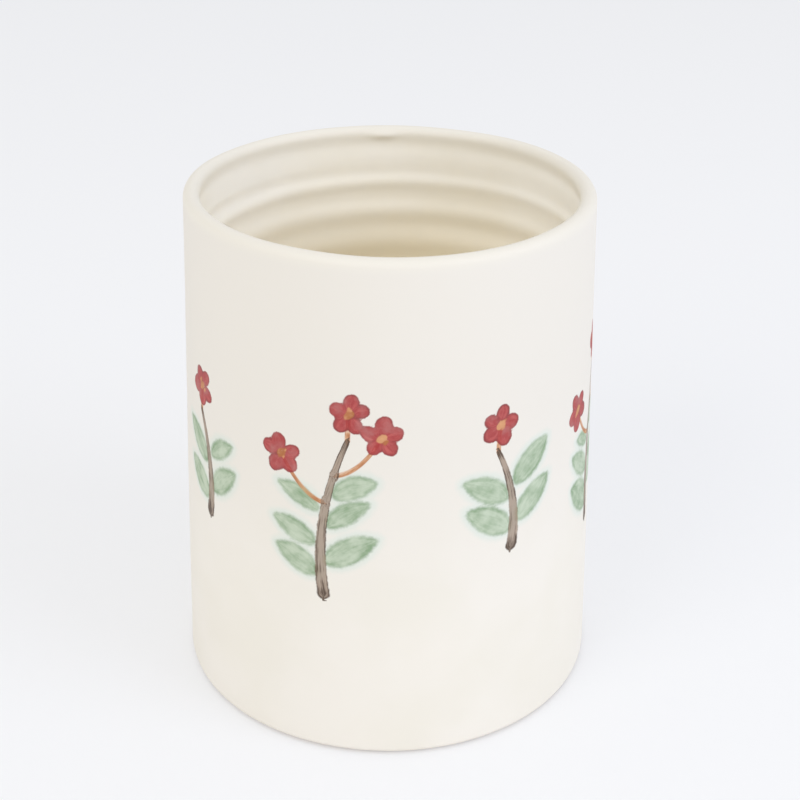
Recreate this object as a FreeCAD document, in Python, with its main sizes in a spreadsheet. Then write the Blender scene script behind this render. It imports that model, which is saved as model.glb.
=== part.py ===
# Hand-thrown utensil crock: a fired clay pot with a glaze coat outside and a liner glaze inside.
# Millimetres, +Z up, origin on the table at the middle of the foot.
import FreeCAD, Part
import math
import os
import Sketcher

Vector = FreeCAD.Vector
doc = FreeCAD.newDocument("utensil_crock")

# Driving dimensions of the fired clay and its glaze
dimensions = {
    "rim_diameter": 126.2,         # outside of the clay lip
    "base_diameter": 137.6,        # outside of the clay just above the foot edge
    "height": 164.6,               # table to the crest of the clay lip
    "lip_thickness": 4.3,          # clay wall at the lip, which is rolled to a half round
    "low_wall_thickness": 6.8,     # clay wall where it meets the inner corner, thicker than the lip
    "floor_thickness": 6.0,        # clay between the trimmed underside and the inside
    "foot_edge_radius": 2.2,       # rounded edge between the wall and the foot ring
    "foot_ring_width": 9.0,        # flat ring that the crock stands on
    "foot_recess": 1.2,            # depth trimmed away inside the foot ring
    "inner_corner_radius": 12.0,   # inside, between the wall and the floor
    "ring_start": 14.5,            # lip crest down to the middle of the first finger ring
    "ring_pitch": 10.0,            # from one finger ring to the next
    "ring_depth": 0.8,             # how deep the finger presses into the wall
    "finger_radius": 14.0,         # hollow that the finger leaves, seen in section
    "glaze_thickness": 0.4,        # both coats
    "glaze_line": 0.9,             # table to the lower edge of the outer coat
}

# Places that follow from the driving dimensions
layout = {
    "lip_radius": "sizes.lip_thickness / 2",
    "lip_centre": "sizes.rim_diameter / 2 - lip_radius",
    "lip_level": "sizes.height - lip_radius",
    "foot_centre": "sizes.base_diameter / 2 - sizes.foot_edge_radius",
    "foot_ring_inside": "foot_centre - sizes.foot_ring_width",
    "floor_level": "sizes.foot_recess + sizes.floor_thickness",
    "corner_top": "floor_level + sizes.inner_corner_radius",
    "corner_centre": "sizes.base_diameter / 2 - sizes.low_wall_thickness - sizes.inner_corner_radius",
    "corner_to_lip": "hypot(lip_centre - corner_centre; lip_level - corner_top)",
    "wall_lean": "atan2(lip_centre - corner_centre; lip_level - corner_top)"
                 " - asin((lip_radius + sizes.inner_corner_radius) / corner_to_lip)",
    "bore_radius": "lip_centre - lip_radius * cos(wall_lean)",
    "bore_level": "lip_level + lip_radius * sin(wall_lean)",
    "ring_level": "sizes.height - sizes.ring_start",
    "ring_half_width": "sqrt(sizes.finger_radius ^ 2 - (sizes.finger_radius - sizes.ring_depth) ^ 2)",
    "ring_count": "floor((ring_level - ring_half_width - corner_top) / sizes.ring_pitch) + 1",
    "press_chord": "2 * sqrt(sizes.finger_radius ^ 2"
                   " - (sizes.finger_radius - sizes.ring_depth - sizes.glaze_thickness / 2) ^ 2)",
}


def add_sheet(name, cells):
    sheet = doc.addObject("Spreadsheet::Sheet", name)
    for row, (alias, content) in enumerate(cells.items(), start=1):
        sheet.set(f"A{row}", alias)
        sheet.set(f"B{row}", content)
        sheet.setAlias(f"B{row}", alias)
    doc.recompute()
    return sheet


sizes = add_sheet("sizes", {alias: str(number) for alias, number in dimensions.items()})
places = add_sheet("places", {alias: "=" + formula for alias, formula in layout.items()})

# Points of a sketch edge, and the sketch's own axes: the table line and the turning axis
FIRST, LAST, CENTRE = range(1, 4)
TABLE, TURNING_AXIS = range(-1, -3, -1)


def origin_feature(body, role):
    return next(feature for feature in body.Origin.OriginFeatures if feature.Role == role)


class Section:
    """Closed outlines in the XZ plane of a body, each drawn edge by edge in one direction."""

    def __init__(self, body, name):
        self.sketch = body.newObject("Sketcher::SketchObject", name)
        self.sketch.AttachmentSupport = (origin_feature(body, "XZ_Plane"), "")
        self.sketch.MapMode = "FlatFace"
        self.ends = []

    def line(self, start, stop):
        edge = self.sketch.addGeometry(Part.LineSegment(Vector(*start), Vector(*stop)), False)
        self.ends.append((edge, FIRST, LAST))
        return edge

    def arc(self, centre, radius, start, stop):
        # A sketch keeps its arcs anticlockwise, so an arc drawn clockwise starts at its last point
        circle = Part.Circle(Vector(*centre), Vector(0, 0, 1), radius)
        arc = Part.ArcOfCircle(circle, min(start, stop), max(start, stop))
        edge = self.sketch.addGeometry(arc, False)
        self.ends.append((edge, FIRST, LAST) if start < stop else (edge, LAST, FIRST))
        return edge

    def join(self, corners):
        # Every edge runs smoothly into the next, apart from those that end in a corner
        for here, there in zip(self.ends, self.ends[1:] + self.ends[:1]):
            kind = "Coincident" if here[0] in corners else "Tangent"
            self.hold(kind, here[0], here[2], there[0], there[1])

    def hold(self, kind, *points):
        return self.sketch.addConstraint(Sketcher.Constraint(kind, *points))

    def value(self, formula):
        return float(self.sketch.evalExpression(formula))

    def bind(self, kind, *points, to):
        start = math.radians(self.value(to)) if kind == "Angle" else self.value(to)
        index = self.hold(kind, *points, start)
        self.sketch.setExpression(f"Constraints[{index}]", to)

    def place(self, edge, point, across=None, up=None):
        if across:
            self.bind("DistanceX", TABLE, FIRST, edge, point, to=across)
        if up:
            self.bind("DistanceY", TABLE, FIRST, edge, point, to=up)


def turn(body, kind, section, name):
    feature = body.newObject(kind, name)
    feature.Profile = section.sketch
    feature.ReferenceAxis = (origin_feature(body, "Z_Axis"), [""])
    feature.Angle = 360
    doc.recompute()
    return feature


def on_arc(centre, radius, angle):
    return (centre[0] + radius * math.cos(angle), centre[1] + radius * math.sin(angle))


# Centres of the rolled lip, the foot edge and the inner corner, where each sketch starts from
lip = (places.lip_centre, places.lip_level)
foot = (places.foot_centre, sizes.foot_edge_radius)
corner = (places.corner_centre, places.corner_top)
down, crest = -math.pi / 2, math.pi / 2

# The outer wall is the straight line that touches the foot edge and the lip: this is its normal's angle
span = (lip[0] - foot[0], lip[1] - foot[1])
wall_normal = math.atan2(span[1], span[0]) - math.acos(
    (sizes.foot_edge_radius - places.lip_radius) / math.hypot(*span))

# The inner wall is the straight line that touches the lip and the inner corner, which lie on its two sides:
# it leans from the upright, and its normal points into the open bore
lean = math.radians(places.wall_lean.Value)
into_bore = math.pi - lean
into_wall = -lean


def outer_wall(coat):
    low = on_arc(foot, sizes.foot_edge_radius + coat, wall_normal)
    high = on_arc(lip, places.lip_radius + coat, wall_normal)
    return low, high


def inner_wall(coat):
    high = on_arc(lip, places.lip_radius + coat, into_bore)
    low = on_arc(corner, sizes.inner_corner_radius - coat, into_wall)
    return high, low


def make_clay_body():
    body = doc.addObject("PartDesign::Body", "clay_body")
    section = Section(body, "thrown_section")
    recess = sizes.foot_recess
    ring = places.foot_ring_inside
    floor = places.floor_level

    underside = section.line((0, recess), (ring - recess, recess))
    bevel = section.line((ring - recess, recess), (ring, 0))
    foot_ring = section.line((ring, 0), (foot[0], 0))
    foot_edge = section.arc(foot, sizes.foot_edge_radius, down, wall_normal)
    section.line(*outer_wall(0))
    lip_roll = section.arc(lip, places.lip_radius, wall_normal, into_bore)
    section.line(*inner_wall(0))
    inner_corner = section.arc(corner, sizes.inner_corner_radius, into_wall, down)
    floor_line = section.line((corner[0], floor), (0, floor))
    axis = section.line((0, floor), (0, recess))

    section.join(corners=(underside, bevel, floor_line, axis))
    for edge in (underside, foot_ring, floor_line):
        section.hold("Horizontal", edge)
    section.hold("Vertical", axis)
    section.hold("PointOnObject", axis, FIRST, TURNING_AXIS)
    section.hold("PointOnObject", foot_ring, FIRST, TABLE)
    section.place(underside, FIRST, up="sizes.foot_recess")
    section.place(bevel, LAST, across="places.foot_ring_inside")
    section.bind("DistanceX", bevel, FIRST, bevel, LAST, to="sizes.foot_recess")
    section.place(foot_edge, CENTRE, across="places.foot_centre")
    section.bind("Radius", foot_edge, to="sizes.foot_edge_radius")
    section.place(lip_roll, CENTRE, across="places.lip_centre", up="places.lip_level")
    section.bind("Radius", lip_roll, to="places.lip_radius")
    section.place(inner_corner, CENTRE, across="places.corner_centre")
    section.bind("Radius", inner_corner, to="sizes.inner_corner_radius")
    section.place(floor_line, LAST, up="places.floor_level")
    turn(body, "PartDesign::Revolution", section, "thrown_wall")

    add_finger_rings(body, "PartDesign::Groove", "finger", inset="0")
    return body


def add_finger_rings(body, kind, name, inset):
    # One lens for each ring, all turned at once: its round side presses into the wall, and its chord lies
    # along the wall, in the open bore or in the coat; the inset moves it off the clay
    section = Section(body, name + "_section")
    radius = sizes.finger_radius
    reach = f"(sizes.finger_radius - sizes.ring_depth + {inset})"
    half = math.asin(places.press_chord / 2 / radius)
    for number in range(int(places.ring_count)):
        ring_level = f"(places.ring_level - {number} * sizes.ring_pitch)"
        across = (f"places.bore_radius - (places.bore_level - {ring_level}) * tan(places.wall_lean)"
                  f" - {reach} * cos(places.wall_lean)")
        up = f"{ring_level} + {reach} * sin(places.wall_lean)"
        centre = (section.value(across), section.value(up))
        low, high = into_wall - half, into_wall + half

        press = section.arc(centre, radius, low, high)
        chord = section.line(on_arc(centre, radius, high), on_arc(centre, radius, low))
        section.hold("Coincident", press, LAST, chord, FIRST)
        section.hold("Coincident", chord, LAST, press, FIRST)
        section.bind("Radius", press, to="sizes.finger_radius")
        section.place(press, CENTRE, across=across, up=up)
        section.bind("Distance", chord, to="places.press_chord")
        section.bind("Angle", chord, to="-90 deg - places.wall_lean")
    body.Tip = turn(body, kind, section, name + "_rings")


def make_outer_glaze():
    body = doc.addObject("PartDesign::Body", "outer_glaze")
    section = Section(body, "coat_section")
    coat = sizes.glaze_thickness
    foot_coat = sizes.foot_edge_radius + coat
    lip_coat = places.lip_radius + coat
    drop = sizes.foot_edge_radius - sizes.glaze_line
    clay_edge = -math.asin(drop / sizes.foot_edge_radius)
    coat_edge = -math.asin(drop / foot_coat)

    coat_foot = section.arc(foot, foot_coat, coat_edge, wall_normal)
    section.line(*outer_wall(coat))
    coat_lip = section.arc(lip, lip_coat, wall_normal, crest)
    seam = section.line(on_arc(lip, lip_coat, crest), on_arc(lip, places.lip_radius, crest))
    clay_lip = section.arc(lip, places.lip_radius, crest, wall_normal)
    section.line(*reversed(outer_wall(0)))
    clay_foot = section.arc(foot, sizes.foot_edge_radius, wall_normal, clay_edge)
    lower_edge = section.line(
        on_arc(foot, sizes.foot_edge_radius, clay_edge), on_arc(foot, foot_coat, coat_edge))

    section.join(corners=(coat_lip, seam, clay_foot, lower_edge))
    section.hold("Vertical", seam)
    section.hold("Horizontal", lower_edge)
    section.hold("Coincident", coat_foot, CENTRE, clay_foot, CENTRE)
    section.hold("Coincident", coat_lip, CENTRE, clay_lip, CENTRE)
    section.place(clay_foot, CENTRE, across="places.foot_centre", up="sizes.foot_edge_radius")
    section.place(clay_lip, CENTRE, across="places.lip_centre", up="places.lip_level")
    section.place(seam, FIRST, across="places.lip_centre")
    section.place(lower_edge, FIRST, up="sizes.glaze_line")
    section.bind("Radius", clay_foot, to="sizes.foot_edge_radius")
    section.bind("Radius", coat_foot, to="sizes.foot_edge_radius + sizes.glaze_thickness")
    section.bind("Radius", clay_lip, to="places.lip_radius")
    section.bind("Radius", coat_lip, to="places.lip_radius + sizes.glaze_thickness")
    turn(body, "PartDesign::Revolution", section, "coat")
    return body


def make_liner_glaze():
    body = doc.addObject("PartDesign::Body", "liner_glaze")
    section = Section(body, "liner_section")
    coat = sizes.glaze_thickness
    lip_coat = places.lip_radius + coat
    corner_coat = sizes.inner_corner_radius - coat
    floor = places.floor_level

    floor_clay = section.line((0, floor), (corner[0], floor))
    corner_clay = section.arc(corner, sizes.inner_corner_radius, down, into_wall)
    section.line(*reversed(inner_wall(0)))
    lip_clay = section.arc(lip, places.lip_radius, into_bore, crest)
    seam = section.line(on_arc(lip, places.lip_radius, crest), on_arc(lip, lip_coat, crest))
    lip_glaze = section.arc(lip, lip_coat, crest, into_bore)
    section.line(*inner_wall(coat))
    corner_glaze = section.arc(corner, corner_coat, into_wall, down)
    floor_glaze = section.line((corner[0], floor + coat), (0, floor + coat))
    axis = section.line((0, floor + coat), (0, floor))

    section.join(corners=(lip_clay, seam, floor_glaze, axis))
    for edge in (floor_clay, floor_glaze):
        section.hold("Horizontal", edge)
    for edge in (seam, axis):
        section.hold("Vertical", edge)
    section.hold("PointOnObject", axis, FIRST, TURNING_AXIS)
    section.hold("Coincident", lip_clay, CENTRE, lip_glaze, CENTRE)
    section.hold("Coincident", corner_clay, CENTRE, corner_glaze, CENTRE)
    section.place(lip_clay, CENTRE, across="places.lip_centre", up="places.lip_level")
    section.place(seam, FIRST, across="places.lip_centre")
    section.place(corner_clay, CENTRE, across="places.corner_centre")
    section.place(floor_clay, FIRST, up="places.floor_level")
    section.bind("Radius", lip_clay, to="places.lip_radius")
    section.bind("Radius", lip_glaze, to="places.lip_radius + sizes.glaze_thickness")
    section.bind("Radius", corner_clay, to="sizes.inner_corner_radius")
    section.bind("Radius", corner_glaze, to="sizes.inner_corner_radius - sizes.glaze_thickness")
    turn(body, "PartDesign::Revolution", section, "liner")

    add_finger_rings(body, "PartDesign::Revolution", "bead", inset="0")
    add_finger_rings(body, "PartDesign::Groove", "finger", inset="sizes.glaze_thickness")
    return body


parts = [make_clay_body(), make_outer_glaze(), make_liner_glaze()]
doc.recompute()

# Nothing is written unless every object is sound
for item in doc.Objects:
    if {"Invalid", "Error"} & set(item.State):
        raise RuntimeError(f"{item.Label} failed: {item.State}")
for body in parts:
    if body.Shape.isNull() or not body.Shape.isValid() or len(body.Shape.Solids) != 1:
        raise RuntimeError(f"{body.Label} isn't one sound solid")

os.makedirs("parts", exist_ok=True)
for body in parts:
    body.Shape.exportStep(f"parts/{body.Label}.step")
    print(f"{body.Label}: {body.Shape.Volume / 1000:.1f} cm3, {len(body.Shape.Faces)} faces")
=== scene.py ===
import math

import bpy
import numpy as np
from mathutils import Matrix, Vector


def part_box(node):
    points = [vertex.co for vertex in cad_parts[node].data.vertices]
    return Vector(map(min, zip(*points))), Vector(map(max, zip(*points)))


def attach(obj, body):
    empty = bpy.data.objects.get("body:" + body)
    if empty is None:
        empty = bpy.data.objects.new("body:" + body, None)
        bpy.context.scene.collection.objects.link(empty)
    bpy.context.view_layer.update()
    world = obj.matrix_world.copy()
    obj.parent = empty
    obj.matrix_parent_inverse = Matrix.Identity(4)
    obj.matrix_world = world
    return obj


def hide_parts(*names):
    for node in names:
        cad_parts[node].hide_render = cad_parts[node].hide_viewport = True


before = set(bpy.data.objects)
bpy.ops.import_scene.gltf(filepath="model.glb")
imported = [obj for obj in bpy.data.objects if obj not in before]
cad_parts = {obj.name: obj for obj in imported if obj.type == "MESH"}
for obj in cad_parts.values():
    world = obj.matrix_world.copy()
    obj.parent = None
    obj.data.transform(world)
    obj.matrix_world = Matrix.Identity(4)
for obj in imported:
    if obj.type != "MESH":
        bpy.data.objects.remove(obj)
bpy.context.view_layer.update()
print("frame:", ", ".join(sorted(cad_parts)))

mm = 0.001
fullTurn = 2 * math.pi
quarterTurn = math.pi / 2
clayBox, coatBox, linerBox = (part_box(node) for node in ("clay_body", "outer_glaze", "liner_glaze"))

# Glazed sizes of the thrown pot, in metres
pot = {
    "height": coatBox[1].z,                                # table to the crest of the lip
    "baseRadius": min(*coatBox[1].xy, *-coatBox[0].xy),    # widest round, just above the foot edge
    "crestRadius": 60.95 * mm,                             # turning axis to the crest, where the coats meet
    "glaze": coatBox[1].z - clayBox[1].z,                  # thickness of both coats
    "glazeLine": coatBox[0].z,                             # table to the lower edge of the outer coat
    "floorClay": linerBox[0].z,                            # table to the clay floor inside
    "lipRadius": 2.55 * mm,                                # half round of the lip
    "footEdge": 2.6 * mm,                                  # rounded edge above the foot ring
    "footRing": 9.0 * mm,                                  # flat that the pot stands on
    "recess": 1.2 * mm,                                    # trimmed away inside the foot ring
    "lowWall": 6.8 * mm,                                   # clay between the outside and the inner corner
    "innerCorner": 11.6 * mm,                              # inside, between wall and floor
}

# What hands leave on the wheel, in metres unless said otherwise
handwork = {
    "firstPitch": 9.45 * mm, "pitchGrowth": 0.06,          # spiral of the fingers, wider further down
    "spiralStart": math.radians(113), "fingerDepth": 0.98 * mm,
    # Fades by the way down from the crest: ridges broaden, and the first one is faint and late, in turns
    "ridgePower": (3.2, 2.0), "powerFade": (21.5 * mm, 30.5 * mm),
    "firstRidge": 0.25, "ridgeFade": (12 * mm, 16.5 * mm),
    "firstLag": 0.19, "lagFade": (12 * mm, 19.5 * mm),
    "underLip": 0.65, "underLipFade": (2.55 * mm, 7.2 * mm), "boreFade": (8 * mm, 18 * mm),
    # Fades by the way to the middle of the floor
    "floorLoss": 0.4, "floorFade": (60 * mm, 45 * mm), "middleFade": (3 * mm, 14 * mm),
    "swing": 0.14, "swingTwist": 2.3,                      # the hand presses unevenly round the pot
    "pinch": 1.0 * mm, "pinchTurn": math.radians(93),      # small slip of the lip's inner edge
    "pinchWidth": 4.4 * mm, "pinchFall": 1.4 * mm,
    "wallRipple": 0.06 * mm, "rippleFade": 12 * mm,        # the rib's rings outside: pitch, turns and share
    "ripples": ((17 * mm, 1, 0.31), (41 * mm, -2, 0.186)),
    # Slow waves round the pot: how many, start and share. They only take away, so the pot keeps its box.
    "outOfRound": 0.7 * mm, "ovals": ((2, -0.6, 0.32), (3, 1.9, 0.18)),
    "rimDip": 0.55 * mm, "dips": ((2, 2.4, 0.28), (5, 0.4, 0.15), (9, 2.0, 0.07)),
    "trueBelow": 0.25, "keepIn": 0.06 * mm,                # share of the height that is true, and a margin
    "edgeWave": 0.4 * mm,                                  # lower edge of the outer coat
    "edges": ((3, 0.7 - quarterTurn, 0.3), (7, 2.1 - quarterTurn, 0.2)),
}

# Rows of points along each run of the section
runRows = {
    "footEdge": 12, "lowWall": 10, "paintedWall": 110, "highWall": 8, "lipOutside": 10,
    "lipInside": 10, "underLip": 8, "bore": 145, "innerCorner": 10, "floor": 30,
    "hiddenStep": 8,                                       # one row in so many, for clay under glaze
}
paintBand = (52 * mm, 136 * mm)                            # heights between which the brush works
underLipShare = 0.03                                       # closer rows down to this share of the inner wall
poleRadius = 0.05 * mm                                     # the smallest ring, which a fan closes


# Points of an arc, but for its last: the centre and the radius times the cosine and sine of the turn
def arcRun(centre, radius, start, stop, rows):
    turn = np.linspace(start, stop, rows, endpoint=False)
    return np.column_stack((centre[0] + radius * np.cos(turn), centre[1] + radius * np.sin(turn)))


# Points of a line, but for its last: the two ends mixed by a share from 0 to 1
def lineRun(start, stop, rows):
    share = np.linspace(0, 1, rows, endpoint=False)[:, None]
    return (1 - share) * np.array(start) + share * np.array(stop)


# One point of an arc
def onArc(centre, radius, turn):
    return np.array((centre[0] + radius * math.cos(turn), centre[1] + radius * math.sin(turn)))


# A smooth step from 0 at low to 1 at high: three times the share squared, less twice its cube
def smooth(low, high, value):
    share = np.clip((value - low) / (high - low), 0, 1)
    return share * share * (3 - 2 * share)


# Vectors over their lengths
def unit(vectors):
    return vectors / np.linalg.norm(vectors, axis=-1)[..., None]


# Section of the glazed skin: up the outside from the glaze line, over the lip, down the inside to the
# floor's middle. The outer wall is the line that touches the foot arc and the lip arc, and the inner wall
# the line that touches the lip arc and the inner corner on its two sides.
footCentre = (pot["baseRadius"] - pot["footEdge"], pot["footEdge"] - pot["glaze"])
lipCentre = (pot["crestRadius"], pot["height"] - pot["lipRadius"])
floorLevel = pot["floorClay"] + pot["glaze"]
ringInside = footCentre[0] - pot["footRing"]
cornerFromAxis = pot["baseRadius"] - pot["lowWall"] - pot["innerCorner"] - 2 * pot["glaze"]
cornerCentre = (cornerFromAxis, floorLevel + pot["innerCorner"])
rise = (lipCentre[0] - cornerCentre[0], lipCentre[1] - cornerCentre[1])
lean = math.atan2(*rise) - math.asin((pot["lipRadius"] + pot["innerCorner"]) / math.hypot(*rise))
boreTop = onArc(lipCentre, pot["lipRadius"], math.pi - lean)
boreFoot = onArc(cornerCentre, pot["innerCorner"], -lean)
underLipFoot = boreTop + (boreFoot - boreTop) * underLipShare
span = (lipCentre[0] - footCentre[0], lipCentre[1] - footCentre[1])
normalTurn = math.acos((pot["footEdge"] - pot["lipRadius"]) / math.hypot(*span))
wallNormal = math.atan2(span[1], span[0]) - normalTurn
lineTurn = math.asin((pot["glazeLine"] - footCentre[1]) / pot["footEdge"])
wallFoot = onArc(footCentre, pot["footEdge"], wallNormal)
wallTop = onArc(lipCentre, pot["lipRadius"], wallNormal)


# The outer wall's point at a level
def onWall(level):
    return wallFoot + (wallTop - wallFoot) * (level - wallFoot[1]) / (wallTop[1] - wallFoot[1])


paintLow, paintHigh = onWall(paintBand[0]), onWall(paintBand[1])
outsideRuns = [
    arcRun(footCentre, pot["footEdge"], lineTurn, wallNormal, runRows["footEdge"]),
    lineRun(wallFoot, paintLow, runRows["lowWall"]),
    lineRun(paintLow, paintHigh, runRows["paintedWall"]),
    lineRun(paintHigh, wallTop, runRows["highWall"]),
    arcRun(lipCentre, pot["lipRadius"], wallNormal, quarterTurn, runRows["lipOutside"]),
]
insideRuns = [
    arcRun(lipCentre, pot["lipRadius"], quarterTurn, math.pi - lean, runRows["lipInside"]),
    lineRun(boreTop, underLipFoot, runRows["underLip"]),
    lineRun(underLipFoot, boreFoot, runRows["bore"]),
    arcRun(cornerCentre, pot["innerCorner"], -lean, -quarterTurn, runRows["innerCorner"]),
    lineRun((cornerCentre[0], floorLevel), (0, floorLevel), runRows["floor"]),
]
section = np.concatenate(outsideRuns + insideRuns)
footRows = runRows["footEdge"]
crestRow = sum(len(run) for run in outsideRuns)
lipRow = crestRow - runRows["lipOutside"]                   # first row of the lip
wallRow = crestRow + runRows["lipInside"]                   # first row of the inner wall
hiddenRows = np.r_[0:footRows, footRows:lipRow:runRows["hiddenStep"], lipRow:crestRow + 1]
arcLength = np.concatenate(([0], np.cumsum(np.linalg.norm(np.diff(section, axis=0), axis=1))))
tangent = np.gradient(section, arcLength, axis=0)
sectionNormal = unit(np.column_stack((tangent[:, 1], -tangent[:, 0])))
print("section:", len(section), "rows, crest at row", crestRow)


# Depth of the finger spiral: one trough for each turn. The phase is the way down from the lip, counted in
# pitches that widen, less the turn round the axis. A ridge is a power of the cosine of pi times the
# phase, and a trough 1 less that. What changes from one ridge to the next follows the way down alone, so
# nothing jumps where the turn starts again.
def fingerSpiral(theta, rows):
    work = handwork
    wayDown = np.maximum(arcLength[rows] - arcLength[wallRow], 0)[:, None] + pot["lipRadius"]
    toMiddle = arcLength[-1] - arcLength[rows][:, None]
    pitches = np.log1p(work["pitchGrowth"] * wayDown / work["firstPitch"]) / work["pitchGrowth"]
    lag = work["firstLag"] * (1 - smooth(*work["lagFade"], wayDown))
    phase = pitches - (theta - work["spiralStart"]) / fullTurn - lag
    narrow, broad = work["ridgePower"]
    power = narrow + (broad - narrow) * smooth(*work["powerFade"], wayDown)
    strength = work["firstRidge"] + (1 - work["firstRidge"]) * smooth(*work["ridgeFade"], wayDown)
    trough = 1 - strength * np.abs(np.cos(np.pi * phase)) ** power
    underLip = work["underLip"] * smooth(*work["underLipFade"], wayDown)
    fadeIn = underLip + (1 - work["underLip"]) * smooth(*work["boreFade"], wayDown)
    onFloor = 1 - work["floorLoss"] * smooth(*work["floorFade"], toMiddle)
    fadeOut = smooth(*work["middleFade"], toMiddle)
    pressure = 1 - work["swing"] * (1 - np.sin(theta + work["swingTwist"] * pitches))
    inside = (rows >= wallRow)[:, None]
    return -work["fingerDepth"] * trough * fadeIn * onFloor * fadeOut * pressure * inside


# A soft bump on the lip's inner edge: a bell curve both round the pot and along the section
def lipPinch(theta, rows):
    work = handwork
    turned = (theta - work["pinchTurn"] + np.pi) % fullTurn - np.pi
    around = turned * pot["crestRadius"] / work["pinchWidth"]
    along = (arcLength[rows] - arcLength[wallRow])[:, None] / work["pinchFall"]
    return work["pinch"] * np.exp(-around ** 2 - along ** 2)


# Faint rings that the rib took off outside: sines of the level over a pitch plus turns of theta, about 0.5
def ribRipple(theta, rows):
    work = handwork
    level = section[rows, 1][:, None]
    outside = (rows < crestRow)[:, None] * smooth(pot["height"], pot["height"] - work["rippleFade"], level)
    waves = [share * np.sin(fullTurn * level / pitch + turns * theta)
             for pitch, turns, share in work["ripples"]]
    return -work["wallRipple"] * (0.5 + sum(waves)) * outside


# A slow wave round the pot: shares of cosines of theta, about 0.5
def roundWave(theta, parts):
    return 0.5 + sum(share * np.cos(count * theta + start) for count, start, share in parts)


# A pot is never quite round: its radius and height lose a few tenths towards the rim, by slow waves
def handShape(theta, radius, level):
    work = handwork
    upShare = smooth(work["trueBelow"] * pot["height"], pot["height"], level)
    narrower = work["keepIn"] + work["outOfRound"] * roundWave(theta, work["ovals"]) * upShare
    lower = work["keepIn"] + work["rimDip"] * roundWave(theta, work["dips"]) * upShare ** 3
    return radius * (1 - narrower / pot["baseRadius"]), level * (1 - lower / pot["height"])


# Turns of a grid's columns, evenly round the axis
def roundTurns(columns):
    return np.linspace(0, fullTurn, columns, endpoint=False)[None, :]


# Points of a turned form: the radius times the cosine and sine of theta, and the level
def spin(theta, radius, level):
    return np.stack((radius * np.cos(theta), radius * np.sin(theta), level + 0 * theta), axis=-1)


# The skin, sunk by an inset: the section turned about the axis, with the reliefs along its normal and the
# hand's shape over all
def skin(columns, inset=0.0):
    theta = roundTurns(columns)
    rows = np.arange(len(section))
    shift = fingerSpiral(theta, rows) + lipPinch(theta, rows) + ribRipple(theta, rows) - inset
    radius = section[:, :1] + shift * sectionNormal[:, :1]
    level = section[:, 1:] + shift * sectionNormal[:, 1:]
    return spin(theta, *handShape(theta, np.maximum(radius, poleRadius), level))


# Normals of a grid: the cross product of its slopes round the pot and along its rows, or along the lengths
# that are given
def gridNormals(points, *lengths):
    roundPot = np.roll(points, -1, axis=1) - np.roll(points, 1, axis=1)
    return unit(np.cross(roundPot, np.gradient(points, *lengths, axis=0)))


# Quads of a grid that closes round its columns, and round its rows too if it is a ring; poles close the
# first and last rows with fans to two more points
def gridFaces(rows, columns, ring=False, poles=False):
    here = np.arange(columns)
    there = np.roll(here, -1)
    low = np.arange(rows if ring else rows - 1)[:, None] * columns
    high = (low + columns) % (rows * columns)
    faces = np.stack((low + here, low + there, high + there, high + here), -1).reshape(-1, 4).tolist()
    if poles:
        last = (rows - 1) * columns
        first = np.full(columns, rows * columns)
        faces += np.stack((first, there, here), -1).tolist()
        faces += np.stack((first + 1, last + here, last + there), -1).tolist()
    return faces


# Two more points on the axis, at the mean levels of the first and last rows, with upright normals
def withPoles(points, normals, firstUp):
    middles = np.array([(0, 0, points[row, :, 2].mean()) for row in (0, -1)])
    ends = np.array(((0, 0, firstUp), (0, 0, -firstUp)))
    return np.concatenate((points.reshape(-1, 3), middles)), np.concatenate((normals.reshape(-1, 3), ends))


# Volume inside the faces: a sixth of the sum, over their triangles, of a corner's dot with the others'
# cross product
def enclosedVolume(points, faces):
    fans = [(face[0], face[1], face[2]) for face in faces]
    fans += [(face[0], face[2], face[3]) for face in faces if len(face) == 4]
    a, b, c = (points[corner] for corner in np.array(fans).T)
    return np.einsum("ij,ij->", a, np.cross(b, c)) / 6


# A piece of the pot from its grid, turned to face outwards
def addPiece(name, points, faces, normals, node):
    points, normals = points.reshape(-1, 3), normals.reshape(-1, 3)
    volume = enclosedVolume(points, faces)
    if volume < 0:
        faces = [face[::-1] for face in faces]
    mesh = bpy.data.meshes.new(name)
    mesh.from_pydata(points.tolist(), [], faces)
    mesh.polygons.foreach_set("use_smooth", np.ones(len(faces), bool))
    mesh.normals_split_custom_set_from_vertices(normals.tolist())
    piece = bpy.data.objects.new(name, mesh)
    bpy.context.scene.collection.objects.link(piece)
    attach(piece, "root")
    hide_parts(node)
    triangles = sum(len(face) - 2 for face in faces)
    print(f"{name}: {triangles} triangles round {abs(volume) * 1e6:.1f} cm3")
    return piece


# Values kept on a piece's points for its material, as numbers or as vectors
def storeField(piece, name, kind, values):
    field = piece.data.attributes.new(name, kind, "POINT")
    field.data.foreach_set("value" if kind == "FLOAT" else "vector", np.asarray(values, np.float32).ravel())


outsideCoat = {"columns": 510, "rollRows": 5}


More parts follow.
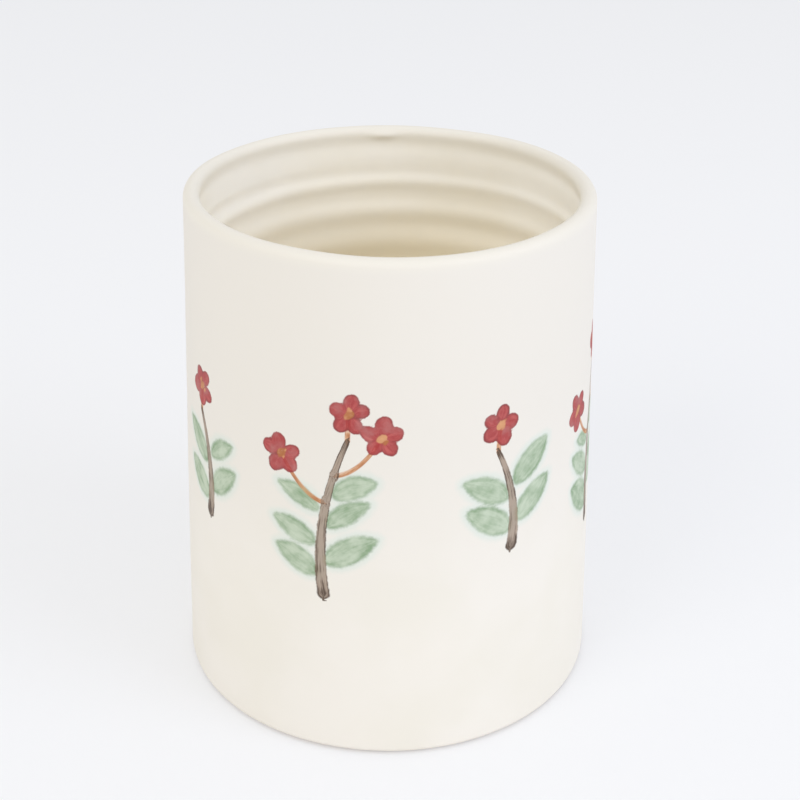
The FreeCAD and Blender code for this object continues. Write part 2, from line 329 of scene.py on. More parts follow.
# Outer coat: the skin's outside rows, the clay behind them, and a half round that rolls the lower edge on
# to the clay. A slow wave lifts that edge and fades out over the foot's arc.
def makeOutsideCoat():
    columns = outsideCoat["columns"]
    front, back = skin(columns), skin(columns, pot["glaze"])
    normal = gridNormals(front, arcLength)
    upward = unit(np.gradient(front, axis=0))
    wave = handwork["edgeWave"] * roundWave(roundTurns(columns), handwork["edges"])
    lift = (wave * (1 - smooth(0, footRows, np.arange(len(front))))[:, None])[..., None] * upward
    front, back = front + lift, back + lift

    turn = np.linspace(0, np.pi, outsideCoat["rollRows"] + 2)[1:-1, None, None]
    rolled = -np.cos(turn) * normal[0] - np.sin(turn) * upward[0]
    roll = (front[0] + back[0]) / 2 + pot["glaze"] / 2 * rolled
    shown, hidden = np.arange(crestRow + 1), hiddenRows[::-1]
    points = np.concatenate((front[shown], back[hidden], roll))
    normals = np.concatenate((normal[shown], -normal[hidden], rolled))
    faces = gridFaces(len(points), columns, ring=True)
    return addPiece("glaze_outside", points, faces, normals, "outer_glaze")


insideCoat = {"columns": 232}


# Liner: the skin's inside rows from the floor's middle up to the crest, and the clay behind them back to
# the middle. Its attribute troughShare is 1 at the bottom of the finger spiral, where the glaze pools,
# and 0 on the ridges.
def makeInsideCoat():
    columns = insideCoat["columns"]
    front, back = skin(columns), skin(columns, pot["glaze"])
    normal = gridNormals(front, arcLength)
    down = np.arange(crestRow, len(section))
    up = down[::-1]
    points = np.concatenate((front[up], back[down]))
    faces = gridFaces(len(points), columns, poles=True)
    points, normals = withPoles(points, np.concatenate((normal[up], -normal[down])), 1)
    piece = addPiece("glaze_inside", points, faces, normals, "liner_glaze")
    trough = np.zeros(len(points))
    trough[:len(up) * columns] = -fingerSpiral(roundTurns(columns), up).ravel() / handwork["fingerDepth"]
    storeField(piece, "troughShare", "FLOAT", trough)
    return piece


clayPot = {
    "columns": 232, "recessRows": 90, "bevelRows": 5, "ringRows": 14, "edgeRows": 14,
    "middle": 0.5 * mm,                                    # the first ring underneath
    "trimPitch": 3.4 * mm, "trimDepth": 0.16 * mm,         # spiral that the trimming tool leaves underneath
    "trimFade": (3 * mm, 6 * mm), "trimStop": 1.2,         # from the axis, and in bevels inside the ring
    "chatter": 0.03 * mm, "chatterMarks": 37, "chatterTwist": 9,   # faint cross marks of the tool
}


# Fired clay: the trimmed underside, the foot ring and the bare foot edge, then the skin sunk by the
# glaze's thickness. The tool's spiral is a zigzag of the radius in pitches less the turn.
def makeClayPot():
    spec = clayPot
    columns = spec["columns"]
    theta = roundTurns(columns)
    bevel = pot["recess"]
    bare = np.concatenate((
        lineRun((spec["middle"], bevel), (ringInside - bevel, bevel), spec["recessRows"]),
        lineRun((ringInside - bevel, bevel), (ringInside, 0), spec["bevelRows"]),
        lineRun((ringInside, 0), (footCentre[0], 0), spec["ringRows"]),
        arcRun(footCentre, pot["footEdge"] - pot["glaze"], -quarterTurn, lineTurn, spec["edgeRows"]),
    ))
    radius, level = bare[:, :1], bare[:, 1:]
    under = smooth(*spec["trimFade"], radius) * (radius < ringInside - spec["trimStop"] * bevel)
    pitches = radius / spec["trimPitch"]
    zigzag = np.abs(2 * ((pitches - theta / fullTurn) % 1) - 1)
    crossMarks = np.sin(spec["chatterMarks"] * theta + spec["chatterTwist"] * pitches)
    level = level + (spec["trimDepth"] * zigzag + spec["chatter"] * crossMarks) * under
    bottom = spin(theta, *handShape(theta, radius + 0 * theta, level))
    rest = skin(columns, pot["glaze"])[np.r_[hiddenRows, crestRow + 1:len(section)]]
    points = np.concatenate((bottom, rest))
    faces = gridFaces(len(points), columns, poles=True)
    points, normals = withPoles(points, gridNormals(points), -1)
    return addPiece("clay_pot", points, faces, normals, "clay_body")


# Painted sprigs, in millimetres on the unrolled wall: x round the pot from a sprig's own middle, z up.
# Leaves and blooms stand at shares of the stem.
brushwork = {
    "seed": 23, "sprigs": 8, "turn": math.radians(-103),
    "tall": {"stem": (58, 110), "leaves": (0.1, 0.32, 0.52), "blooms": (0.6, 0.78), "lean": 7.0},
    "short": {"stem": (70, 103), "leaves": (0.12, 0.48), "blooms": (), "lean": -5.0},
    "leanRange": (0.7, 1.2), "stemWidth": (2.0, 0.8),
    "strokePoints": 14, "stemPoints": 24, "dabPoints": 4,
    "lift": 0.8, "finest": 0.05,                           # roundness of a stroke's ends, least half width
    "reach": 4.0, "far": 6.0, "away": -1000,               # reach of a stroke's field, values beyond it
}
leafStroke = {
    "length": (15, 20), "width": (3.5, 4.5), "fullLength": 16, "belly": 0.44,
    "turn": (28, 46), "gap": 1.9, "arch": (0.4, 2.2),      # degrees above level, way off the stem, and bend
    "rightStep": 0.1, "stray": 0.02,                       # shares of the stem
    "turnLoss": 5, "lengthLoss": 0.1,                      # for each pair further up
}
stalkStroke = {
    "width": (0.8, 0.55), "headBend": (0, 3), "headRise": (0.6, 8.5),    # bloom at the top of the stem
    "foot": (1.2, 0.2), "bend": (8, 2), "out": (12, 14.5), "up": (11, 15),   # blooms at its sides
    "knotFoot": (0, 2), "knotTop": (0.6, 2), "knotWidth": 1.5, "knotBelly": 0.5,
}
bloomStroke = {
    "petals": 5, "length": (5.0, 6.1), "width": (2.2, 2.8), "belly": 0.62,
    "start": 0.6, "stray": 0.09, "sway": 0.5,
    "dabFoot": (0.4, 0.4), "dabTop": (0.4, 0.3), "dabWidth": 1.1,            # heart
    "dots": 5, "dotSpread": 1.7, "dotBend": (0.2, 0.2), "dotTop": (0.3, 0.5), "dotWidth": (0.3, 0.5),
}
pigments = ("leaf", "bloom", "stem", "stalk", "heart")


# A bent line: the quadratic curve from start to stop that leans towards a middle point
def bend(start, middle, stop, points=brushwork["strokePoints"]):
    share = np.linspace(0, 1, points)[:, None]
    start, middle, stop = (np.array(point, float) for point in (start, middle, stop))
    return (1 - share) ** 2 * start + 2 * share * (1 - share) * middle + share ** 2 * stop


# Half width of a stroke: a brush set down, pressed and lifted is a sine with its belly moved along
def pressed(width, belly):
    share = np.linspace(0, 1, brushwork["strokePoints"])
    return width * np.sin(np.pi * share ** (math.log(0.5) / math.log(belly))) ** brushwork["lift"]


# Pairs of leaves: bent strokes that start a little off the stem and point up and outwards
def leafStrokes(rng, stemPoint, shares):
    spec = leafStroke
    strokes = []
    for number, share in enumerate(shares):
        for side in (-1, 1):
            stray = rng.uniform(-spec["stray"], spec["stray"])
            base = stemPoint(share + spec["rightStep"] * (side > 0) + stray)
            angle = math.radians(rng.uniform(*spec["turn"]) - spec["turnLoss"] * number)
            length = rng.uniform(*spec["length"]) * (1 - spec["lengthLoss"] * number)
            along = np.array((side * math.cos(angle), math.sin(angle)))
            upward = np.array((-along[1] * side, along[0] * side))
            start, stop = base + spec["gap"] * along, base + (spec["gap"] + length) * along
            line = bend(start, (start + stop) / 2 + rng.uniform(*spec["arch"]) * upward, stop)
            width = rng.uniform(*spec["width"]) * length / spec["fullLength"]
            strokes.append((line, pressed(width, spec["belly"])))
    return strokes


# Petals of one bloom: short bent strokes outwards from its middle, evenly round but for a little stray
def petalStrokes(rng, middle):
    spec = bloomStroke
    strokes = []
    turn = rng.uniform(0, fullTurn)
    for number in range(spec["petals"]):
        angle = turn + fullTurn * (number + rng.uniform(-spec["stray"], spec["stray"])) / spec["petals"]
        outward = np.array((math.cos(angle), math.sin(angle)))
        sideways = np.array((-outward[1], outward[0]))
        length = rng.uniform(*spec["length"])
        start, stop = middle + spec["start"] * outward, middle + length * outward
        line = bend(start, (start + stop) / 2 + rng.uniform(-spec["sway"], spec["sway"]) * sideways, stop)
        strokes.append((line, pressed(rng.uniform(*spec["width"]), spec["belly"])))
    return strokes


# Heart of one bloom: a dab at its middle and dots about it
def heartStrokes(rng, middle):
    spec = bloomStroke
    points = brushwork["dabPoints"]
    dab = bend(middle - spec["dabFoot"], middle, middle + spec["dabTop"], points)
    strokes = [(dab, np.full(points, spec["dabWidth"]))]
    for _ in range(spec["dots"]):
        dot = middle + rng.uniform(-spec["dotSpread"], spec["dotSpread"], 2)
        line = bend(dot, dot + spec["dotBend"], dot + spec["dotTop"], points)
        strokes.append((line, np.full(points, rng.uniform(*spec["dotWidth"]))))
    return strokes


# A sprig, as the line and the half widths of each stroke: a bent stem, leaves in pairs, a bloom on top
# and others on stalks at its sides, each with a knot where it leaves the stem
def sprigStrokes(rng, sprig):
    spec = stalkStroke
    points = brushwork["strokePoints"]
    low, high = sprig["stem"]
    lean = sprig["lean"] * rng.uniform(*brushwork["leanRange"])
    stem = bend((-lean / 2, low), (-lean, (low + high) / 2), (lean / 2, high), brushwork["stemPoints"])

    def stemPoint(share):
        return np.array([np.interp(share, np.linspace(0, 1, len(stem)), stem[:, axis]) for axis in (0, 1)])

    strokes = {pigment: [] for pigment in pigments}
    strokes["stem"].append((stem, np.linspace(*brushwork["stemWidth"], len(stem))))
    strokes["leaf"] += leafStrokes(rng, stemPoint, sprig["leaves"])
    tip = stemPoint(1)
    tops = [tip + spec["headRise"]]
    strokes["stalk"].append((bend(tip, tip + spec["headBend"], tops[0]), np.full(points, spec["width"][0])))
    for number, share in enumerate(sprig["blooms"]):
        side = np.array((1 if number % 2 else -1, 1))
        base = stemPoint(share)
        top = base + side * (rng.uniform(*spec["out"]), rng.uniform(*spec["up"]))
        line = bend(base + side * spec["foot"], base + side * spec["bend"], top)
        knot = bend(base - spec["knotFoot"], base, base + side * spec["knotTop"])
        strokes["stalk"].append((line, np.linspace(*spec["width"], points)))
        strokes["stem"].append((knot, pressed(spec["knotWidth"], spec["knotBelly"])))
        tops.append(top)
    for top in tops:
        strokes["bloom"] += petalStrokes(rng, top)
        strokes["heart"] += heartStrokes(rng, top)
    return strokes


# Lays a stroke on the wall's spots: the gap is the distance to the nearest point of the line less the
# half width there, u runs along the stroke from 0 to 1, and v across it from -1 to 1
def layStroke(field, across, up, line, width, seed):
    reach = brushwork["reach"] + width.max()
    near = ((across > line[:, 0].min() - reach) & (across < line[:, 0].max() + reach)
            & (up > line[:, 1].min() - reach) & (up < line[:, 1].max() + reach))
    spots = np.column_stack((across[near], up[near]))[:, None]
    step = np.diff(line, axis=0)
    along = np.clip(((spots - line[:-1]) * step).sum(-1) / (step ** 2).sum(-1), 0, 1)
    offset = spots - line[:-1] - along[..., None] * step
    distance = np.linalg.norm(offset, axis=-1)
    half = np.maximum(width[:-1] + along * np.diff(width), brushwork["finest"])
    nearest = np.argmin(distance - half, axis=1)
    pick = np.arange(len(spots)), nearest
    side = np.sign(step[nearest, 0] * offset[pick][:, 1] - step[nearest, 1] * offset[pick][:, 0])
    u, v = (nearest + along[pick]) / len(step), side * (distance / half)[pick]
    found = np.column_stack(((distance - half)[pick], u, v, np.full(len(spots), seed)))
    old = field[near]
    field[near] = np.where((found[:, 0] < old[:, 0])[:, None], found, old)


# Fields of the pigments on the outer coat's shown rows, kept as attributes: gap, u, v and a seed
def paintSprigs(piece):
    spec = brushwork
    rng = np.random.default_rng(spec["seed"])
    points = np.empty(len(piece.data.vertices) * 3)
    piece.data.vertices.foreach_get("co", points)
    points = points.reshape(-1, 3)
    shown = np.arange(len(points)) < (crestRow + 1) * outsideCoat["columns"]
    turn = np.arctan2(points[:, 1], points[:, 0])
    up = np.where(shown, points[:, 2] / mm, spec["away"])
    wallRadius = onWall(sum(paintBand) / 2)[0] / mm
    unpainted = (spec["far"], 0.5, spec["far"], 0.0)
    fields = {pigment: np.tile(unpainted, (len(points), 1)) for pigment in pigments}
    count = 0
    for number in range(spec["sprigs"]):
        middle = spec["turn"] + fullTurn * number / spec["sprigs"]
        across = ((turn - middle + np.pi) % fullTurn - np.pi) * wallRadius
        strokes = sprigStrokes(rng, spec["short" if number % 2 else "tall"])
        for pigment in pigments:
            for line, width in strokes[pigment]:
                layStroke(fields[pigment], across, up, line, width, rng.uniform())
                count += 1
    for pigment, field in fields.items():
        storeField(piece, pigment + "Place", "FLOAT_VECTOR", field[:, :3])
        storeField(piece, pigment + "Seed", "FLOAT", field[:, 3])
    print("brushwork:", count, "strokes")


# One output of a material's nodes; sums on it add Math nodes
class Wire:
    def __init__(self, tree, output=None):
        self.tree, self.output = tree, output

    def node(self, kind, settings=None, sockets=None, give=0):
        made = self.tree.nodes.new("ShaderNode" + kind)
        for name, value in (settings or {}).items():
            setattr(made, name, value)
        for name, value in (sockets or {}).items():
            if isinstance(value, Wire):
                self.tree.links.new(value.output, made.inputs[name])
            else:
                made.inputs[name].default_value = value
        return Wire(self.tree, made.outputs[give])

    # Another output of the same node
    def sibling(self, give):
        return Wire(self.tree, self.output.node.outputs[give])

    def maths(self, operation, *values):
        return self.node("Math", {"operation": operation}, dict(enumerate(values)))

    def __add__(self, other):
        return self.maths("ADD", self, other)

    def __radd__(self, other):
        return self.maths("ADD", other, self)

    def __sub__(self, other):
        return self.maths("SUBTRACT", self, other)

    def __rsub__(self, other):
        return self.maths("SUBTRACT", other, self)

    def __mul__(self, other):
        return self.maths("MULTIPLY", self, other)

    def __rmul__(self, other):
        return self.maths("MULTIPLY", other, self)

    def __truediv__(self, other):
        return self.maths("DIVIDE", self, other)

    def __rtruediv__(self, other):
        return self.maths("DIVIDE", other, self)

    def __abs__(self):
        return self.maths("ABSOLUTE", self)

    def fade(self, low, high, start=0.0, stop=1.0):
        sockets = {"Value": self, "From Min": low, "From Max": high, "To Min": start, "To Max": stop}
        return self.node("MapRange", {"interpolation_type": "SMOOTHSTEP"}, sockets)

    def blend(self, under, over):
        return self.node("Mix", {"data_type": "RGBA"}, {0: self, 6: under, 7: over}, give=2)

    def noise(self, where, scale, detail=2.0, roughness=0.5):
        sockets = {"Vector": where, "Scale": scale, "Detail": detail, "Roughness": roughness}
        return self.node("TexNoise", {}, sockets)

    def parts(self):
        cut = self.node("SeparateXYZ", {}, {0: self})
        return [cut.sibling(axis) for axis in range(3)]

    def joined(self, x, y, z):
        return self.node("CombineXYZ", {}, {0: x, 1: y, 2: z})


# A colour in 255ths, as screens give it, turned to plain amounts of light
def colour(red, green, blue):
    def linear(value):
        value /= 255
        return value / 12.92 if value <= 0.04045 else ((value + 0.055) / 1.055) ** 2.4
    return linear(red), linear(green), linear(blue), 1.0


# A material, its shader and a wire to start its nodes from
def newMaterial(name):
    material = bpy.data.materials.new(name)
    material.use_nodes = True
    shader = next(node for node in material.node_tree.nodes if node.type == "BSDF_PRINCIPLED")
    return material, shader, Wire(material.node_tree)


def feed(wire, shader, name):
    wire.tree.links.new(wire.output, shader.inputs[name])


# Both coats of glaze
glazeSurface = {
    "cloudScale": 28, "cloudDetail": 3, "cloudFade": (0.35, 0.7),          # thicker and thinner glaze
    "speckScale": 85.0, "speckSize": (0.07, 0.03), "speckChoice": (0.9, 0.97), "speckShare": 0.5,
    "peelScale": 420, "roughScale": 60, "roughDetail": 3, "roughSwing": 0.1,
    "bumpStrength": 0.12, "bumpDepth": 0.06 * mm, "cloudBump": 0.5,
}
glazeFinish = {
    "cream": colour(239, 234, 224), "pooled": colour(236, 231, 219), "speck": colour(176, 152, 120),
    "shadedUpper": colour(232, 227, 217), "shadedUpperFade": (40 * mm, 115 * mm),      # painted shade, darker higher up the outer wall
    "thinShaded": colour(235, 230, 218), "lipFade": (5 * mm, 1 * mm),            # thinner glaze and painted shade on the lip, by the way below the crest
    "roughness": 0.58,
}
liningFinish = {
    "cream": colour(252, 249, 241), "pooled": colour(249, 245, 234), "speck": colour(170, 146, 112),
    "deep": colour(254, 241, 208), "warmBounceFade": (155 * mm, 85 * mm),        # painted warm bounce light, warmer down the wall
    "floor": colour(254, 248, 233), "floorFade": (70 * mm, 15 * mm),       # paler near the floor
    "trough": colour(246, 232, 205), "troughFade": (0.1, 0.7),             # pooled in the spiral, low down
    "troughLevels": (110 * mm, 20 * mm), "troughMost": 0.5,
    "lipFade": (7 * mm, 3 * mm), "roughness": 0.56,
}

# Brush paint: fades are of the gap to a stroke's edge, in millimetres, or of the place along or across it
wetPaint = {"wobbleScale": 620, "wobbleRough": 0.6, "poolScale": 190, "poolRough": 0.55, "detail": 3}
leafPaint = {
    "pale": colour(182, 198, 168), "deep": colour(130, 157, 120), "halo": colour(203, 223, 213),
    "wobble": 1.3, "pools": 0.8, "streaks": (2.2, 2.8),
    "wash": (0.6, -1.0), "cover": (0.7, 0.28), "haloFade": (2.8, 0.0), "haloShare": 0.42,
    "rim": (-1.7, -0.4), "rimShare": 0.16, "streakShare": 0.55, "poolShare": 0.8, "least": 0.12,
    "depth": (0.15, 0.72),
}
stalkPaint = {
    "pale": colour(214, 156, 108), "deep": colour(176, 108, 56),
    "across": (1.25, 0.7), "gap": (0.9, 0.5),
    "streaks": (4, 0.8, 50, 2, 0.5),                       # length, fineness, apart, detail and roughness
    "depth": (0.3, 0.75), "dry": (0.2, 0.6, 0.55, 0.95),
}
stemPaint = {
    "pale": colour(150, 125, 103), "deep": colour(80, 60, 44),
    "wobble": 0.5, "across": (1.15, 0.85), "gap": (0.9, 0.5), "streaks": (5, 2.6), "cover": (0.8, 0.18),
    "streakFade": (0.4, 0.68), "streakShare": 0.8, "edge": (0.5, 1.0), "edgeShare": 0.4,
    "end": (0.36, 0.5), "endShare": 0.6, "poolShare": 1.2, "depth": (0.1, 1.1),
}
bloomPaint = {
    "red": colour(165, 42, 44), "deep": colour(128, 26, 30), "pale": colour(190, 82, 78),
    "wobble": 0.7, "body": (0.22, -0.22), "streaks": (2.5, 2.2), "cover": (-0.2, 0.05, 0.86, 0.97),
    "paleStreaks": 0.7, "palePools": 0.5, "least": 0.15, "paleFade": (0.42, 0.72),
    "rim": (-1.1, -0.1), "rimShare": 0.6, "root": (0.5, 0.0), "rootShare": 0.45,
    "seedShare": 0.3, "poolShare": 0.8, "warmBounceFade": (0.15, 1.1),
}
heartPaint = {
    "pale": colour(214, 156, 108), "deep": colour(176, 108, 56),
    "depth": (0.2, 0.9), "wobble": 0.5, "body": (0.25, -0.25), "cover": 0.9,
}


# Small round specks: near the middles of Voronoi cells, in the few cells whose colour is red enough
def specks(start, where, scale, size, choice):
    cells = start.node("TexVoronoi", {"feature": "F1"}, {"Vector": where, "Scale": scale})
    return cells.fade(*size) * cells.sibling("Color").parts()[0].fade(*choice)


# Cream under the paint: slow clouds of thicker and thinner glaze and a few small iron specks
def creamGround(start, where, finish):
    spec = glazeSurface
    clouds = start.noise(where, spec["cloudScale"], spec["cloudDetail"]).fade(*spec["cloudFade"])
    ground = clouds.blend(finish["cream"], finish["pooled"])
    dots = specks(start, where, spec["speckScale"], spec["speckSize"], spec["speckChoice"])
    return (dots * spec["speckShare"]).blend(ground, finish["speck"]), clouds


# A pigment's fields on the wall: gap to a stroke's edge, place along and across it, and its seed
def pigmentParts(start, pigment):
    place = start.node("Attribute", {"attribute_name": pigment + "Place"}, give="Vector")
    seed = start.node("Attribute", {"attribute_name": pigment + "Seed"}, give="Fac")
    return *place.parts(), seed


# Marks of the brush's hairs: noise drawn out along the stroke, other for each stroke
def brushStreaks(start, along, across, seed, length, fineness, apart=40, detail=3, roughness=0.6):
    return start.noise(start.joined(along * length, across * fineness, seed * apart), 1.0, detail, roughness)


# Leaves: a wet wash, darker in its pools and at its rim, with a pale halo where it ran into the glaze
def paintLeaves(start, under, wobble, pools):
    paint = leafPaint
    gap, along, across, seed = pigmentParts(start, "leaf")
    gap = gap + wobble * paint["wobble"] + pools * paint["pools"]
    streaks = brushStreaks(start, along, across, seed, *paint["streaks"])
    rim = gap.fade(*paint["rim"]) * paint["rimShare"]
    depth = streaks * paint["streakShare"] + pools * paint["poolShare"] + rim + paint["least"]
    depth = depth.fade(*paint["depth"])
    leaf = depth.blend(paint["pale"], paint["deep"])
    halo = gap.fade(*paint["haloFade"]) * paint["haloShare"]
    least, more = paint["cover"]
    return (gap.fade(*paint["wash"]) * (least + depth * more)).blend(halo.blend(under, paint["halo"]), leaf)


# Stalks: a thin line that the brush leaves drier here and there
def paintStalks(start, under):
    paint = stalkPaint
    gap, along, across, seed = pigmentParts(start, "stalk")
    body = abs(across).fade(*paint["across"]) * gap.fade(*paint["gap"])
    streaks = brushStreaks(start, along, across, seed, *paint["streaks"])
    stalk = streaks.fade(*paint["depth"]).blend(paint["pale"], paint["deep"])
    return (body * streaks.fade(*paint["dry"])).blend(under, stalk)


# Stems: streaked, and darker at the edges, the ends and in the pools
def paintStems(start, under, wobble, pools):
    paint = stemPaint
    gap, along, across, seed = pigmentParts(start, "stem")
    body = (abs(across) + wobble * paint["wobble"]).fade(*paint["across"]) * gap.fade(*paint["gap"])
    streaks = brushStreaks(start, along, across, seed, *paint["streaks"]).fade(*paint["streakFade"])
    edges = abs(across).fade(*paint["edge"]) * paint["edgeShare"]
    ends = abs(along - 0.5).fade(*paint["end"]) * paint["endShare"]
    depth = streaks * paint["streakShare"] + edges + ends + pools * paint["poolShare"]
    depth = depth.fade(*paint["depth"])
    least, more = paint["cover"]
    return (body * (least + depth * more)).blend(under, depth.blend(paint["pale"], paint["deep"]))


# Blooms: red, paler in streaks and darker at the rim and the root of each petal
def paintBlooms(start, under, wobble, pools):
    paint = bloomPaint
    gap, along, across, seed = pigmentParts(start, "bloom")
    gap = gap + wobble * paint["wobble"]
    streaks = brushStreaks(start, along, across, seed, *paint["streaks"])
    pale = streaks * paint["paleStreaks"] + pools * paint["palePools"] + paint["least"]
    bloom = pale.fade(*paint["paleFade"]).blend(paint["red"], paint["pale"])
    rim = gap.fade(*paint["rim"]) * paint["rimShare"]
    root = along.fade(*paint["root"]) * paint["rootShare"]
    dark = rim + root + seed * paint["seedShare"] + pools * paint["poolShare"]
    bloom = dark.fade(*paint["warmBounceFade"]).blend(bloom, paint["deep"])
    return (gap.fade(*paint["body"]) * pools.fade(*paint["cover"])).blend(under, bloom)


# Hearts: dabs and dots, each of its own depth
def paintHearts(start, under, wobble, pools):
    paint = heartPaint
    gap, *_, seed = pigmentParts(start, "heart")
    heart = (seed + pools).fade(*paint["depth"]).blend(paint["pale"], paint["deep"])
    body = (gap + wobble * paint["wobble"]).fade(*paint["body"])
    return (body * paint["cover"]).blend(under, heart)


# Brush paint over the ground, one pigment after another, with ragged edges and pools of wet paint
def paintOver(start, where, ground):
    spec = wetPaint
    wobble = start.noise(where, spec["wobbleScale"], spec["detail"], spec["wobbleRough"]) - 0.5
    pools = start.noise(where, spec["poolScale"], spec["detail"], spec["poolRough"]) - 0.5
    painted = paintLeaves(start, ground, wobble, pools)
    painted = paintStalks(start, painted)
    painted = paintStems(start, painted, wobble, pools)
    painted = paintBlooms(start, painted, wobble, pools)
    return paintHearts(start, painted, wobble, pools)


# Roughness that swings about the finish's own
def roughen(wire, shader, roughness, swing):
    feed(roughness - swing / 2 + wire * swing, shader, "Roughness")


# Satin glaze: slow changes of gloss and a fine orange peel
def satinSkin(start, where, shader, finish, clouds):
    spec = glazeSurface
    peel = start.noise(where, spec["peelScale"])
    gloss = start.noise(where, spec["roughScale"], spec["roughDetail"])
    roughen(gloss, shader, finish["roughness"], spec["roughSwing"])
    height = peel + clouds * spec["cloudBump"]
    sockets = {"Strength": spec["bumpStrength"], "Distance": spec["bumpDepth"], "Height": height}
    feed(start.node("Bump", {}, sockets), shader, "Normal")


# Thinner glaze and painted shade on the lip, by the level
def thinShadedLip(level, ground, fade):
    levels = (pot["height"] - depth for depth in fade)
    return level.fade(*levels).blend(ground, glazeFinish["thinShaded"])


def creamGlaze():
    finish = glazeFinish
    material, shader, start = newMaterial("creamGlaze")
    where = start.node("TexCoord", give="Object")
    ground, clouds = creamGround(start, where, finish)
    level = where.parts()[2]
    # Painted shade: the outer wall darker higher up
    ground = level.fade(*finish["shadedUpperFade"]).blend(ground, finish["shadedUpper"])
    # Thinner glaze and painted shade on the lip
    ground = thinShadedLip(level, ground, finish["lipFade"])
    feed(paintOver(start, where, ground), shader, "Base Color")
    satinSkin(start, where, shader, finish, clouds)
    return material


def liningGlaze():
    finish = liningFinish
    material, shader, start = newMaterial("liningGlaze")
    where = start.node("TexCoord", give="Object")
    ground, clouds = creamGround(start, where, finish)
    level = where.parts()[2]
    # Painted warm bounce light, stronger down the wall
    ground = level.fade(*finish["warmBounceFade"]).blend(ground, finish["deep"])
    ground = level.fade(*finish["floorFade"]).blend(ground, finish["floor"])
    trough = start.node("Attribute", {"attribute_name": "troughShare"}, give="Fac")
    share = level.fade(*finish["troughLevels"], 0.0, finish["troughMost"])
    ground = (trough.fade(*finish["troughFade"]) * share).blend(ground, finish["trough"])
    # Thinner glaze and painted shade on the lip
    feed(thinShadedLip(level, ground, finish["lipFade"]), shader, "Base Color")
    satinSkin(start, where, shader, finish, clouds)
    return material


clayFinish = {
    "buff": colour(206, 186, 158), "warm": colour(188, 158, 124), "grit": colour(120, 94, 70),
    "rubbed": colour(220, 203, 178), "grooveShade": colour(164, 136, 106), "roughness": 0.78,
    "cloudScale": 45, "cloudDetail": 4, "cloudRough": 0.6, "cloudFade": (0.35, 0.7), "cloudShare": 0.7,
    "grooveShadeFade": (0.55, 1.0), "grooveShadeShare": 0.75, "skipScale": 160, "skipDetail": 3, "skipFade": (0.3, 0.65),
    "underFade": (2 * mm, 1.6 * mm),                       # levels up to which the clay is the underside
    "rubFade": (0.3 * mm, 0.05 * mm), "rubShare": 0.8, "rubClouds": 0.4, "flashShare": 0.6,
    "gritScale": 700.0, "gritSize": (0.4, 0.2), "gritChoice": (0.78, 0.9), "gritShare": 0.7, "gritBump": 0.6,
    "grainScale": 1500, "grainDetail": 4, "grainRough": 0.65, "grainSwing": 0.16,
    "bumpStrength": 0.5, "bumpDepth": 0.15 * mm,
}


# Bare fired clay: buff with warm clouds and fine grit, painted shade in the grooves that the trimming tool
# left, rubbed pale on the foot ring, and flashed at the edge close under the glaze
def bareClay():
    finish = clayFinish
    material, shader, start = newMaterial("bareClay")
    where = start.node("TexCoord", give="Object")
    clouds = start.noise(where, finish["cloudScale"], finish["cloudDetail"], finish["cloudRough"])
    clouds = clouds.fade(*finish["cloudFade"])
    body = (clouds * finish["cloudShare"]).blend(finish["buff"], finish["warm"])
    x, y, level = where.parts()
    toAxis = start.maths("SQRT", x * x + y * y)
    phase = toAxis / clayPot["trimPitch"] - start.maths("ARCTAN2", y, x) / fullTurn
    skips = start.noise(where, finish["skipScale"], finish["skipDetail"]).fade(*finish["skipFade"])
    groove = abs(start.maths("FRACT", phase) * 2 - 1).fade(*finish["grooveShadeFade"]) * skips
    insideRing = toAxis.fade(ringInside - pot["recess"], ringInside - 2 * pot["recess"])
    under = insideRing * level.fade(*finish["underFade"])
    # Painted shade in the trimming grooves underneath
    body = (groove * under * finish["grooveShadeShare"]).blend(body, finish["grooveShade"])
    rubbed = level.fade(*finish["rubFade"]) * (finish["rubShare"] - clouds * finish["rubClouds"])
    body = rubbed.blend(body, finish["rubbed"])
    flash = toAxis.fade(footCentre[0], pot["baseRadius"] - pot["glaze"])
    body = (flash * finish["flashShare"]).blend(body, finish["warm"])
    dots = specks(start, where, finish["gritScale"], finish["gritSize"], finish["gritChoice"])
    feed((dots * finish["gritShare"]).blend(body, finish["grit"]), shader, "Base Color")
    grain = start.noise(where, finish["grainScale"], finish["grainDetail"], finish["grainRough"])
    roughen(grain, shader, finish["roughness"], finish["grainSwing"])
    height = grain + dots * finish["gritBump"]
    sockets = {"Strength": finish["bumpStrength"], "Distance": finish["bumpDepth"], "Height": height}
    feed(start.node("Bump", {}, sockets), shader, "Normal")
    return material


coat = makeOutsideCoat()
lining = makeInsideCoat()
clay = makeClayPot()
paintSprigs(coat)
for piece, finish in ((coat, creamGlaze()), (lining, liningGlaze()), (clay, bareClay())):
    piece.data.materials.append(finish)
print("pieces and finishes made")

# Pale table that fills the view, a soft tent of light and two lamps
studio = {
    "floorSize": 6.0, "floorColour": (0.92, 0.92, 0.925, 1.0), "floorRoughness": 0.9, "floorShine": 0.1,
    "backdropColour": (0.9, 0.91, 0.93, 1.0), "backdropShare": 0.4,        # lifts the paper for the camera
    "worldColour": (0.975, 0.98, 1.0, 1.0), "worldStrength": 0.83,
    "lamps": (
        {"name": "leftLamp", "place": (-0.9, -1.0, 1.1), "size": 1.0,
         "power": 5.2, "colour": (1.0, 0.96, 0.9)},
        {"name": "rightLamp", "place": (1.2, -0.6, 0.8), "size": 1.0,
         "power": 6.8, "colour": (0.78, 0.84, 1.0)},
    ),
    "aim": (0.0, 0.0, 0.08),
}


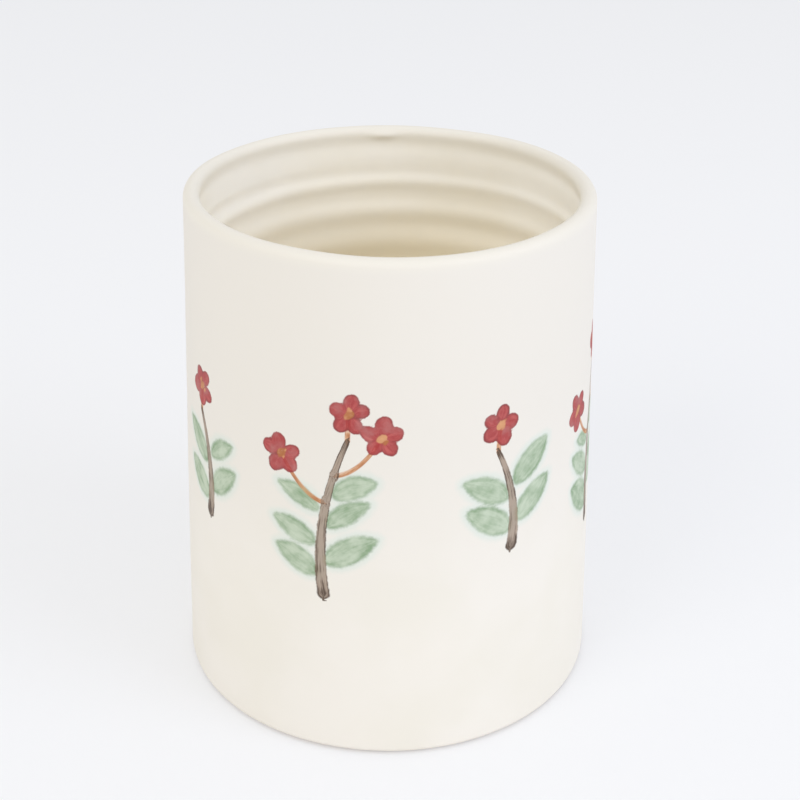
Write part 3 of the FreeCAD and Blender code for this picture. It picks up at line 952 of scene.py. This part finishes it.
def makeTable():
    half = studio["floorSize"] / 2
    mesh = bpy.data.meshes.new("tableTop")
    corners = [(-half, -half, 0), (half, -half, 0), (half, half, 0), (-half, half, 0)]
    mesh.from_pydata(corners, [], [(0, 1, 2, 3)])
    table = bpy.data.objects.new("tableTop", mesh)
    bpy.context.scene.collection.objects.link(table)
    material, shader, start = newMaterial("tablePaper")
    shader.inputs["Base Color"].default_value = studio["floorColour"]
    shader.inputs["Roughness"].default_value = studio["floorRoughness"]
    shader.inputs["Specular IOR Level"].default_value = studio["floorShine"]
    glow = start.node("Emission", {}, {"Color": studio["backdropColour"]})
    seen = start.node("LightPath", give="Is Camera Ray") * studio["backdropShare"]
    paper = start.node("MixShader", {}, {0: seen, 1: Wire(start.tree, shader.outputs[0]), 2: glow})
    start.tree.links.new(paper.output, start.tree.nodes["Material Output"].inputs["Surface"])
    mesh.materials.append(material)


def makeLights():
    world = bpy.data.worlds.new("softTent")
    world.use_nodes = True
    tent = next(node for node in world.node_tree.nodes if node.type == "BACKGROUND")
    tent.inputs["Color"].default_value = studio["worldColour"]
    tent.inputs["Strength"].default_value = studio["worldStrength"]
    bpy.context.scene.world = world
    for spec in studio["lamps"]:
        data = bpy.data.lights.new(spec["name"], "AREA")
        data.shape, data.size, data.energy, data.color = "DISK", spec["size"], spec["power"], spec["colour"]
        lamp = bpy.data.objects.new(spec["name"], data)
        lamp.location = spec["place"]
        lamp.rotation_euler = (Vector(studio["aim"]) - lamp.location).to_track_quat("-Z", "Y").to_euler()
        bpy.context.scene.collection.objects.link(lamp)


# The photograph's camera, as fitted to the ellipses of the lip and the foot
view = {
    "elevation": math.radians(27.5), "distance": 468.2 * mm, "roll": math.radians(0.575),
    "aim": (3.67 * mm, 0.0, 90.04 * mm), "lens": 63.95, "sensor": 36.0, "clip": (0.05, 20.0),
}


def makeCamera():
    data = bpy.data.cameras.new("photoCamera")
    data.lens, data.sensor_width = view["lens"], view["sensor"]
    data.clip_start, data.clip_end = view["clip"]
    camera = bpy.data.objects.new("photoCamera", data)
    sine, cosine = math.sin(view["elevation"]), math.cos(view["elevation"])
    forward, level, upright = Vector((0, cosine, -sine)), Vector((1, 0, 0)), Vector((0, sine, cosine))
    c, s = math.cos(view["roll"]), math.sin(view["roll"])
    axes = Matrix((c * level + s * upright, c * upright - s * level, -forward)).transposed()
    camera.matrix_world = Matrix.Translation(Vector(view["aim"]) - forward * view["distance"]) @ axes.to_4x4()
    bpy.context.scene.collection.objects.link(camera)
    bpy.context.scene.camera = camera


makeTable()
makeLights()
makeCamera()
bpy.context.scene.view_settings.view_transform = "Standard"
print("table, lights and camera set")

bpy.context.view_layer.update()
